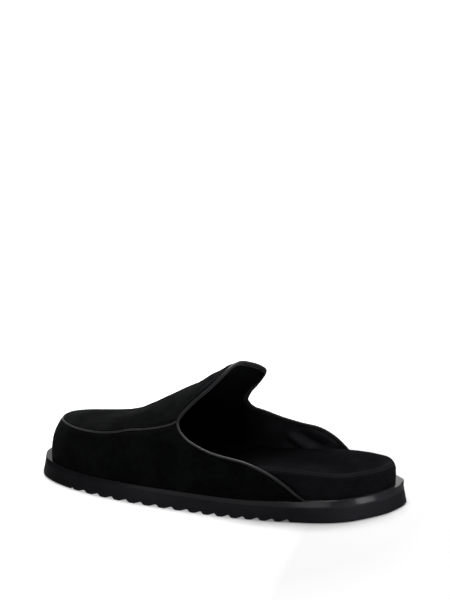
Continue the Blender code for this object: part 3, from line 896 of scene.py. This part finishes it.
def unit(rows):
    return rows / np.linalg.norm(rows, axis=1)[:, None]


def nearest_on_sheet(point):
    """Place, normal, face and distance of the sheet's nearest spot, in the frame's metres."""
    return tree.find_nearest(Vector(to_frame(point[None])[0]))


def outwards(normal, point, inside=INSIDE_SHOE):
    """A normal of the frame as a direction in shoe millimetres, turned away from the inside."""
    turned = np.array([-normal.x, normal.y, normal.z])
    return turned * np.sign(((point - inside) * turned).sum())


def edge_frames(path):
    """For each point of the path: direction into the leather and direction out of its face."""
    along = unit(np.gradient(path, axis=0))
    outward = np.array([outwards(nearest_on_sheet(p)[1], p) for p in path])
    outward = unit(smooth_along(outward, 10))
    into = unit(np.cross(outward, along))
    ahead, behind = (np.mean([nearest_on_sheet(p + PROBE * way * d)[3] for p, d in zip(path, into)])
                     for way in (1.0, -1.0))
    if ahead > behind:
        into = -into
    into = unit(smooth_along(into, 6))
    outward = unit(outward - into * (outward * into).sum(axis=1)[:, None])
    return into, outward


edge_path = smooth_along(spaced(free_edge(), 520), 8)
first_end = edge_path[:1] + unit(edge_path[:1] - edge_path[4:5]) * DOWN_TO_LEDGE
last_end = edge_path[-1:] + unit(edge_path[-1:] - edge_path[-5:-4]) * DOWN_TO_LEDGE
edge_path = np.vstack([first_end, edge_path, last_end])
edge_path = spaced(edge_path, 440)
edge_into, edge_out = edge_frames(edge_path)
print("binding path:", round(length_of(edge_path)), "mm, in", len(edge_path) - 1, "steps")

# %% Make the binding
HALF_WALL = WALL / 2
OUTER_LEG, INNER_LEG = 0.7, 3.0    # how far the legs reach over the suede and over the lining


def folded_strip(outer_leg, inner_leg):
    """Section of the folded strip: (into the leather, out of its face)."""
    outside = [(outer_leg, HALF_WALL + 0.02), (outer_leg + 0.03, HALF_WALL + 0.12),
               (outer_leg - 0.2, HALF_WALL + 0.26), (0.25, HALF_WALL + 0.33)]
    fold = [(-0.25, HALF_WALL + 0.20), (-0.68, 0.80), (-0.96, 0.42), (-1.06, 0.0), (-0.96, -0.42),
            (-0.68, -0.80), (-0.25, -HALF_WALL - 0.20)]
    inside = [(0.25, -HALF_WALL - 0.33), (inner_leg - 0.35, -HALF_WALL - 0.30),
              (inner_leg + 0.04, -HALF_WALL - 0.15), (inner_leg, -HALF_WALL - 0.02)]
    return np.array(outside + fold + inside + [(0.2, -HALF_WALL + 0.2), (0.2, HALF_WALL - 0.2)])


pucker = np.array([noise.noise(Vector((k * 0.32, 5.0, 0.0))) for k in range(len(edge_path))])
# On the far side of the tongue the strip is pulled tight: its inner leg is short and it is thinner.
tongue_back = (smooth_step((edge_path[:, 2] - 74.0) / 8.0)
               * smooth_step((-edge_path[:, 1] - 15.0) / 3.0))
inner_leg = INNER_LEG - 1.9 * tongue_back
rings = []
for k, (p, into, out) in enumerate(zip(edge_path, edge_into, edge_out)):
    from_end = min(k, len(edge_path) - 1 - k)
    swell = (1.0 + 0.05 * pucker[k]) * (0.62 + 0.38 * smooth_step((from_end - 2) / 14))
    swell = swell * (1.0 - 0.22 * tongue_back[k])
    section = folded_strip(OUTER_LEG, inner_leg[k])
    rings.append(p + into * (section[:, :1] * swell) + out * (section[:, 1:] * swell))
binding = make_piece("leather_binding", to_frame(np.vstack(rings)),
                     tube_faces(len(rings), len(section)), ["binding"])

# %% [markdown]
# ## Piping round the toe
#
# A thin leather-covered cord is caught in the seam between wall and apron. It sits in the pinch
# that the creases made, with a little more than half of its thickness showing, and both its ends
# run under the binding.

# %% Make the piping
PIPING_RADIUS, PIPING_SIDES = 0.85, 12
PIPING_TRIM, PIPING_LIFT = 0.3, 0.30     # left out at each end; height over the suede's face
seam_path = smooth_along(spaced(creased[seam_numbers], 300), 6)
seam_path = spaced(seam_path, 300, PIPING_TRIM, PIPING_TRIM)
lifted = [p + outwards(nearest_on_sheet(p)[1], p) * (HALF_WALL + PIPING_LIFT) for p in seam_path]
lifted = smooth_along(np.array(lifted), 6)
along = unit(np.gradient(lifted, axis=0))
up = unit(np.cross(along, np.cross(np.array([0.0, 0.0, 1.0]), along)))
across = np.cross(along, up)
turns = np.linspace(0.0, 2 * math.pi, PIPING_SIDES, endpoint=False)
tube = np.array([p + PIPING_RADIUS * (u * np.cos(turns)[:, None] + a * np.sin(turns)[:, None])
                 for p, u, a in zip(lifted, up, across)])
piping = make_piece("toe_piping", to_frame(tube.reshape(-1, 3)),
                    tube_faces(len(tube), PIPING_SIDES))

# %% [markdown]
# ## Stitches
#
# The inner leg of the binding is held by one row of stitches, and the apron seam by a row beside
# the piping. A bump could fake them, but it fades at a low angle. So each stitch is a short bead of
# waxed thread whose two ends dip into the leather. All beads of a row are one mesh. The thread
# beside the piping is dyed darker, so that it hardly shows on the black suede.

# %% Rows of stitches
STITCH_LENGTH, STITCH_PITCH, THREAD_RADIUS = 2.3, 3.2, 0.27
BEAD_PLACES, BEAD_SIDES = (-1.0, -0.7, 0.0, 0.7, 1.0), 6


def stitch_row(line, outward):
    """Points and faces of a row of thread beads along a line that lies on the surface."""
    count = int(length_of(line) / STITCH_PITCH)
    both = spaced(np.column_stack([line, outward]), count)
    centres, out = both[:, :3], unit(both[:, 3:])
    along = unit(np.gradient(centres, axis=0))
    side = unit(np.cross(along, out))
    turns = np.linspace(0.0, 2 * math.pi, BEAD_SIDES, endpoint=False)
    bead_faces = tube_faces(len(BEAD_PLACES), BEAD_SIDES)
    points, faces = [], []
    for centre, a, o, b in zip(centres, along, out, side):
        start = len(points)
        for t in BEAD_PLACES:
            thick = THREAD_RADIUS * (1.0 - 0.55 * t ** 4)
            middle = centre + a * (t * STITCH_LENGTH / 2) + o * (0.10 - 0.28 * t ** 4)
            points += [middle + thick * (o * math.sin(u) + b * math.cos(u)) for u in turns]
        faces += [tuple(start + n for n in face) for face in bead_faces]
    return points, faces


def stitched(name, line, outward):
    points, faces = stitch_row(line, outward)
    return make_piece(name, to_frame(np.array(points)), faces)


# %% Stitches on the binding
trim = slice(12, -12)
inner_leg_line = edge_path + edge_into * (inner_leg[:, None] - 0.85) - edge_out * (HALF_WALL + 0.30)
collar_stitches = stitched("collar_stitches", inner_leg_line[trim], -edge_out[trim])

# %% Stitches beside the piping
BESIDE_PIPING = 2.3
UNDER_CREST = np.array([110.0, -6.0, 40.0])

apron_line, apron_out = [], []
for p, a in zip(lifted[6:-6], along[6:-6]):
    sideways = np.cross(a, outwards(nearest_on_sheet(p)[1], p, UNDER_CREST))
    up_the_apron = np.array([0.25, -0.05 - 0.02 * p[1], 0.9])
    sideways *= np.sign((sideways * up_the_apron).sum())
    spot, normal, _, _ = nearest_on_sheet(p + BESIDE_PIPING * unit(sideways[None])[0])
    out = outwards(normal, p, UNDER_CREST)
    spot = np.array([SOLE_LENGTH / 2 - spot.x / MM, spot.y / MM, spot.z / MM])
    apron_line.append(spot + out * (HALF_WALL + 0.05))
    apron_out.append(out)
apron_stitches = stitched("apron_stitches", smooth_along(np.array(apron_line), 4),
                          np.array(apron_out))

# %% [markdown]
# ## Shader maths in plain Python
#
# A material is a small network of nodes. `Wire` wraps one output so that it can be added,
# multiplied or subtracted like a number, and each operation adds the node it needs. `Finish` holds
# the network of one material and adds any other node: its settings first, then its sockets.

# %% Dyes
NEUTRAL, COOL, PLUM = (1.0, 1.0, 1.0), (0.93, 1.0, 1.05), (1.0, 0.97, 1.13)


def grey(level, cast=NEUTRAL):
    """A near-neutral colour from one level and the faint cast of its dye."""
    return tuple(level * share for share in cast) + (1.0,)


print("casts:", {"neutral": NEUTRAL, "cool": COOL, "plum": PLUM})

# %% Wires and finishes
class Wire:
    """One output socket of a network, for use in Python arithmetic."""

    def __init__(self, network, socket):
        self.network = network
        self.socket = socket

    def _math(self, operation, first, second):
        return self.network.node("ShaderNodeMath", {"operation": operation}, {0: first, 1: second})

    def __add__(self, other):
        return self._math("ADD", self, other)

    __radd__ = __add__

    def __sub__(self, other):
        return self._math("SUBTRACT", self, other)

    def __rsub__(self, other):
        return self._math("SUBTRACT", other, self)

    def __mul__(self, other):
        return self._math("MULTIPLY", self, other)

    __rmul__ = __mul__


class Network:
    """The nodes of a material or of the sky."""

    def __init__(self, owner):
        owner.use_nodes = True
        self.owner = owner
        self.tree = owner.node_tree
        self.tree.nodes.clear()

    def put(self, socket, value):
        if isinstance(value, Wire):
            self.tree.links.new(value.socket, socket)
        else:
            socket.default_value = value

    def node(self, kind, settings=None, sockets=None, output=0):
        """Any node: its type, its settings, the values or wires of its sockets, and one output."""
        made = self.tree.nodes.new(kind)
        for key, value in (settings or {}).items():
            setattr(made, key, value)
        for key, value in (sockets or {}).items():
            self.put(made.inputs[key], value)
        return Wire(self, made.outputs[output])

    def place(self):
        """The point on the object, in metres."""
        return self.node("ShaderNodeTexCoord", output="Object")

    def grain(self, scale, detail=3.0, rough=0.55, stretch=None, seed=0.0):
        """Noise with about one lump every 1 / scale metres."""
        at = self.place()
        if stretch or seed:
            at = self.node("ShaderNodeMapping", {}, {"Vector": at, "Location": (seed, seed, seed),
                                                     "Scale": stretch or (1.0, 1.0, 1.0)})
        return self.node("ShaderNodeTexNoise", {}, {"Vector": at, "Scale": scale, "Detail": detail,
                                                    "Roughness": rough})

    def level(self, wire, low, high, out_low=0.0, out_high=1.0):
        """A value spread from low..high to out_low..out_high, and held at both ends."""
        return self.node("ShaderNodeMapRange", {},
                         {"Value": wire, "From Min": low, "From Max": high,
                          "To Min": out_low, "To Max": out_high})

    def part(self, vector, axis):
        """One part of a vector: X runs along the shoe and Z up."""
        return self.node("ShaderNodeSeparateXYZ", {}, {0: vector}, output=axis)

    def tint(self, share, first, second):
        """A colour between two colours."""
        return self.node("ShaderNodeMix", {"data_type": "RGBA"}, {0: share, 6: first, 7: second},
                         output=2)

    def end(self, kind, shader):
        out = self.tree.nodes.new(kind)
        self.tree.links.new(shader.socket, out.inputs["Surface"])


class Finish(Network):
    """The network of one material, which ends in one surface shader."""

    def __init__(self, name):
        super().__init__(bpy.data.materials.new(name))

    def along(self):
        """How far towards the toe, in metres."""
        return self.part(self.place(), "X")

    def height(self):
        """How far above the floor, in metres."""
        return self.part(self.place(), "Z")

    def facing(self):
        """How far the surface faces up: 1 on top, 0 on a wall."""
        return self.part(self.node("ShaderNodeNewGeometry", output="Normal"), "Z")

    def shades(self, share, dark, light, cast=NEUTRAL):
        """A colour between two levels of the same dye."""
        return self.tint(share, grey(dark, cast), grey(light, cast))

    def finish(self, bumps, **sockets):
        """The surface: bumps (height, strength, distance in mm) and the shader's sockets."""
        named = {key.replace("_", " "): value for key, value in sockets.items()}
        for height, strength, distance in bumps:
            parts = {"Height": height, "Strength": strength, "Distance": distance * MM}
            if "Normal" in named:
                parts["Normal"] = named["Normal"]
            named["Normal"] = self.node("ShaderNodeBump", {}, parts)
        self.end("ShaderNodeOutputMaterial", self.node("ShaderNodeBsdfPrincipled", {}, named))
        return self.owner


# %% [markdown]
# ## Suede
#
# Suede is leather with its fibres raised. It has almost no gloss: light scatters in the nap, and a
# trace of sheen lifts it at grazing angles. Brushing leaves broad patches that are lighter or
# darker, and the nap itself is a fine bump of well under a millimetre. Light and shade are painted
# in too. On the upper the walls are painted darker, as painted shade, and the apron's toe and high
# crest paler, as painted sheen. On the footbed the rim is a touch darker, with a painted highlight
# line where it turns down, and the floor of the cup is painted dark, as painted shade.

# %% Suede of the upper and footbed
def suede(name, dark, light, cast, sheen, seed, walls=1.0, crest=None, rim=None):
    """Suede between two levels; walls is painted shade on the walls, crest the heights of painted
    sheen, rim the heights of the rim with its painted highlight and the cup's painted shade.
    """
    finish = Finish(name)
    facing, height = finish.facing(), finish.height()
    nap = finish.grain(2600.0, detail=2.0, rough=0.7)
    fibres = finish.grain(900.0, detail=3.0, stretch=(1.0, 1.0, 0.45), seed=seed)
    brushed = finish.level(finish.grain(42.0, detail=5.0, seed=seed + 2.0), 0.40, 0.63)
    mottled = finish.level(finish.grain(230.0, detail=3.0, seed=seed + 5.0), 0.38, 0.62)
    speck = finish.level(nap, 0.3, 0.7)
    share = 0.45 * brushed + 0.25 * mottled + 0.2 * speck + 0.1 * fibres
    colour = finish.shades(share, dark, light, cast)
    # Painted shade: walls that face sideways are painted darker than what faces up.
    if walls < 1.0:
        wall_painted_shade = finish.shades(share, dark * walls, light * walls, cast)
        colour = finish.tint(finish.level(facing, 0.12, 0.62), wall_painted_shade, colour)
    # Painted sheen: the apron's toe top and its high crest, where they face up, are painted paler.
    if crest:
        toe_top_sheen = 0.90 * finish.level(finish.along(), 0.095, 0.125)
        painted_light_share = finish.level(facing, 0.2, 0.5) * (toe_top_sheen + finish.level(height, *crest))
        colour = finish.tint(painted_light_share, colour, finish.shades(share, dark * 2.1, light * 2.1, cast))
    if rim:
        # On the rim the suede is painted a touch darker, and where the rim turns down a painted
        # highlight line is laid on it.
        on_rim = finish.level(height, *rim)
        painted_tone = finish.shades(share, dark * 0.98, light * 0.95, cast)
        colour = finish.tint(on_rim, colour, painted_tone)
        rim_highlight_line = finish.level(facing, 0.36, 0.48) * finish.level(facing, 0.68, 0.56)
        colour = finish.tint(rim_highlight_line * on_rim, colour, grey(light * 1.6, cast))
        # Painted shade: the low floor of the cup, which faces up, is painted darker.
        cup_painted_shade = finish.level(facing, 0.62, 0.90) * finish.level(height, 0.033, 0.026)
        cup_shade_colour = finish.shades(share, dark * 0.40, light * 0.44, cast)
        colour = finish.tint(cup_painted_shade, colour, cup_shade_colour)
    rough = finish.level(brushed, 0.0, 1.0, 0.98, 0.88)
    return finish.finish([(fibres, 0.35, 0.30), (nap, 0.5, 0.14)], Base_Color=colour,
                         Roughness=rough, Specular_IOR_Level=0.01, Sheen_Weight=sheen,
                         Sheen_Roughness=0.5, Sheen_Tint=(0.92, 0.94, 0.96, 1.0))


# walls=0.92 paints the upper's walls darker as painted shade; crest holds the heights of its
# painted sheen.
upper_suede = suede("upper suede", 0.0010, 0.0040, COOL, 0.002, 1.0, walls=0.92,
                    crest=(0.056, 0.084))
# rim holds the heights of the footbed's rim, with its painted highlight line and the painted shade
# in the cup.
footbed_suede = suede("footbed suede", 0.0044, 0.0082, PLUM, 0.005, 5.0, rim=(0.0235, 0.0325))
print("suede finishes:", upper_suede.name, "and", footbed_suede.name)

# %% [markdown]
# ## Lining, smooth leather and thread
#
# The lining is the flesh side of the suede, with a short dull nap: near black high in the tongue,
# and painted paler low down at the back, as painted light where light falls on the quarter's
# inside. Binding and piping are smooth leather with a soft gloss, fine wrinkles and tiny pores.
# Waxed thread is close enough to smooth leather to share its network, with its own levels.

# %% Lining and binding leather
def smooth_leather(name, dark, light, rough_low, rough_high, specular):
    """Leather or waxed thread between two levels, a little rougher where it shows wear."""
    finish = Finish(name)
    pores = finish.node("ShaderNodeTexVoronoi", {}, {"Vector": finish.place(), "Scale": 1500.0})
    wrinkles = finish.grain(420.0, detail=4.0, seed=3.0)
    wear = finish.level(finish.grain(90.0, detail=3.0, seed=8.0), 0.35, 0.7)
    colour = finish.tint(wear, grey(dark), grey(light, PLUM))
    rough = finish.level(wear + 0.4 * wrinkles, 0.1, 1.2, rough_low, rough_high)
    return finish.finish([(wrinkles, 0.3, 0.25), (pores, 0.25, 0.08)], Base_Color=colour,
                         Roughness=rough, Specular_IOR_Level=specular)


def quarter_lining(name):
    """Flesh side of the suede: near black, and low down at the back painted paler as painted light.
    """
    finish = Finish(name)
    # Painted light: low down at the back the lining is painted paler, where light falls on the
    # quarter's inside.
    low_down = finish.level(finish.height(), 0.072, 0.056)
    painted_tone = finish.level(finish.along(), -0.014, -0.052) * low_down
    nap = finish.grain(1900.0, detail=2.0, seed=9.0)
    patch = finish.level(finish.grain(70.0, detail=4.0, seed=11.0), 0.35, 0.68)
    dark = finish.shades(patch, 0.0021, 0.0036, COOL)
    painted_light_lining = finish.shades(patch, 0.0200, 0.0350, PLUM)
    return finish.finish([(nap, 0.4, 0.16)], Base_Color=finish.tint(painted_tone, dark, painted_light_lining),
                         Roughness=0.92, Specular_IOR_Level=0.02, Sheen_Weight=0.008,
                         Sheen_Roughness=0.5)


lining_leather = quarter_lining("lining leather")
thread = smooth_leather("waxed thread", 0.016, 0.030, 0.45, 0.6, 0.20)
dark_thread = smooth_leather("dark thread", 0.004, 0.009, 0.55, 0.7, 0.08)
binding_leather = smooth_leather("binding leather", 0.008, 0.015, 0.42, 0.56, 0.17)
print("leather finishes:", [m.name for m in (lining_leather, thread, dark_thread, binding_leather)])

# %% [markdown]
# ## Rubber
#
# The rubber has a fine moulded grain that is not quite even, and light scuffs along its side. It
# comes dull from the mould. Its side has painted light and shade: darkest at the toe, paler further
# back and a little darker again at the end of the heel.
# Trimming burnishes what faces up: a trace of gloss on the bevel and a clear one on the flat
# ledge, which a thin coat over the rubber gives.

# %% Rubber of the sole
def rubber(name):
    """Matte moulded sides, painted darker at the toe and heel end as shade; faces that look up are
    burnished.
    """
    finish = Finish(name)
    facing, along = finish.facing(), finish.along()
    mould = finish.grain(1300.0, detail=2.0)
    cloud = finish.level(finish.grain(38.0, detail=4.0, seed=4.0), 0.3, 0.72)
    streaks = finish.grain(240.0, detail=5.0, stretch=(0.18, 0.18, 2.2), seed=6.0)
    scuffs = finish.level(streaks, 0.56, 0.74)
    burnished = 0.037 * finish.level(facing, 0.35, 0.55) + 0.70 * finish.level(facing, 0.82, 0.94)
    patch = 0.7 * cloud + 0.3 * scuffs
    # Painted light and shade along the side: darkest at the toe, paler further back, a little
    # darker again at the heel's end.
    painted_light_share = 0.45 * finish.level(along, 0.138, 0.040) + 0.55 * finish.level(along, -0.080, -0.112)
    painted_light_share = painted_light_share * (1.0 - 0.42 * finish.level(along, -0.122, -0.140))
    colour = finish.tint(painted_light_share, finish.shades(patch, 0.0030, 0.0048, PLUM),
                         finish.shades(patch, 0.0188, 0.0275, PLUM))
    rough = finish.level(cloud - 0.35 * scuffs, -0.35, 1.0, 0.66, 0.54)
    return finish.finish([(mould, 0.15, 0.08), (scuffs, 0.08, 0.05)], Base_Color=colour,
                         Roughness=rough, Specular_IOR_Level=0.01, Coat_Weight=burnished,
                         Coat_Roughness=0.14, Coat_IOR=2.2)


sole_rubber = rubber("sole rubber")
print("rubber finish:", sole_rubber.name)

# %% Give each piece its finish
for piece, materials in ((sole, [sole_rubber]), (footbed, [footbed_suede]),
                         (upper, [upper_suede, lining_leather]), (binding, [binding_leather]),
                         (piping, [binding_leather]), (collar_stitches, [thread]),
                         (apron_stitches, [dark_thread])):
    piece.data.materials.clear()
    for material in materials:
        piece.data.materials.append(material)
    print(piece.name, "is finished in", [m.name for m in materials])

# %% [markdown]
# ## Floor and light
#
# The shoe stands on white paper that is a little overexposed, so that only the deepest part of its
# shadow shows. The paper is painted darker under the heel half, a painted shadow, so that the
# shadow there still shows. It also glows though it is no lamp, a painted light: beside the toe
# half, not beside the heel, and more further out, where the lamps no longer reach. A white backdrop
# closes the far side.
# The sky is bright low down behind the shoe, fades out higher up, and is dim overhead and towards
# the viewer: that leaves the dark suede dark. A broad key light hangs over the far side and rakes
# over the apron, and the tall tongue shades the inside of the shoe. A weaker fill and a small
# ceiling patch hang over the near side. A small strip makes the bright flash on the bevel of the
# heel.

# %% Floor and backdrop
FLOOR_SIDE, BACKDROP_HEIGHT, FLOOR_DROP = 30.0, 4.0, -0.0002


def white_floor():
    """White paper; it glows as painted light, more far from the shoe, and less by the heel as
    painted shadow.
    """
    finish = Finish("white floor")
    along = finish.along()
    distance = finish.node("ShaderNodeVectorMath", {"operation": "LENGTH"}, {0: finish.place()},
                           output="Value")
    # Painted shadow: near the heel the paper doesn't glow at all; further out it glows a little.
    heel_painted_shadow = finish.shades(finish.level(distance, 0.16, 0.22), 0.0, 0.11)
    # Painted glow beside the toe half of the shoe.
    near = finish.tint(finish.level(along, -0.085, -0.012), heel_painted_shadow, grey(0.45))
    painted_glow = finish.tint(finish.level(distance, 0.35, 1.6), near, grey(0.95))
    # Painted shadow: the paper is darker under the heel half.
    paper = finish.shades(finish.level(along, -0.085, 0.030), 0.44, 0.63)
    return finish.finish([], Base_Color=paper, Roughness=0.95, Specular_IOR_Level=0.0,
                         Emission_Color=painted_glow, Emission_Strength=1.0)


def white_backdrop():
    """The same white paper, lit evenly from its own lamps."""
    return Finish("white backdrop").finish([], Base_Color=grey(0.63), Roughness=0.95,
                                           Specular_IOR_Level=0.0, Emission_Color=grey(1.0),
                                           Emission_Strength=1.05)


def stage_sheet(name, corners, material):
    """One flat sheet of the studio, which isn't part of the shoe."""
    sheet = bpy.data.objects.new(name, bpy.data.meshes.new(name))
    sheet.data.from_pydata(corners, [], [(0, 1, 2, 3)])
    sheet.data.materials.append(material)
    sheet.location.z = FLOOR_DROP
    bpy.context.scene.collection.objects.link(sheet)
    print(name, [round(size, 1) for size in sheet.dimensions], "m")


half = FLOOR_SIDE / 2
stage_sheet("floor", [(-half, -half, 0), (half, -half, 0), (half, half, 0), (-half, half, 0)],
            white_floor())
stage_sheet("backdrop", [(-half, -half, 0), (half, -half, 0), (half, -half, BACKDROP_HEIGHT),
                         (-half, -half, BACKDROP_HEIGHT)], white_backdrop())

# %% Sky and lamps
def studio_sky(dim, bright):
    """Bright low down behind the shoe, dim overhead and on the viewer's side."""
    world = bpy.data.worlds.new("studio")
    sky = Network(world)
    way = sky.node("ShaderNodeTexCoord", output="Generated")
    viewer = sky.node("ShaderNodeVectorMath", {"operation": "DOT_PRODUCT"},
                      {0: way, 1: (0.85, 0.53, 0.0)}, output="Value")
    low = sky.level(sky.part(way, "Z"), 0.50, 0.35)
    behind = sky.level(viewer, 0.12, -0.35)
    strength = dim + (bright - dim) * (low * behind)
    sky.end("ShaderNodeOutputWorld",
            sky.node("ShaderNodeBackground", {}, {"Color": grey(1.0), "Strength": strength}))
    bpy.context.scene.world = world


def lamp(name, direction, distance, target, width, height, power):
    """An area light in a direction from its target, facing it."""
    data = bpy.data.lights.new(name, "AREA")
    data.shape = "RECTANGLE"
    data.size, data.size_y, data.energy = width, height, power
    made = bpy.data.objects.new(name, data)
    towards = Vector(direction).normalized()
    made.location = Vector(target) + towards * distance
    made.rotation_mode = "QUATERNION"
    made.rotation_quaternion = towards.to_track_quat("Z", "Y")
    bpy.context.scene.collection.objects.link(made)


studio_sky(0.12, 1.05)
lamp("key", (0.05, -0.40, 0.91), 1.6, (0.0, 0.0, 0.03), 0.9, 0.9, 58.0)
lamp("overhead fill", (0.17, 0.34, 0.92), 1.6, (0.0, 0.0, 0.02), 1.4, 0.8, 5.0)
lamp("ceiling patch", (-0.19, 0.31, 0.93), 1.6, (-0.07, 0.05, 0.01), 0.42, 0.30, 1.8)
lamp("strip over the heel", (-0.64, -0.12, 0.76), 1.5, (-0.12, 0.03, 0.01), 0.19, 0.19, 2.1)
bpy.context.scene.view_settings.view_transform = "Standard"
bpy.context.scene.view_settings.look = "None"
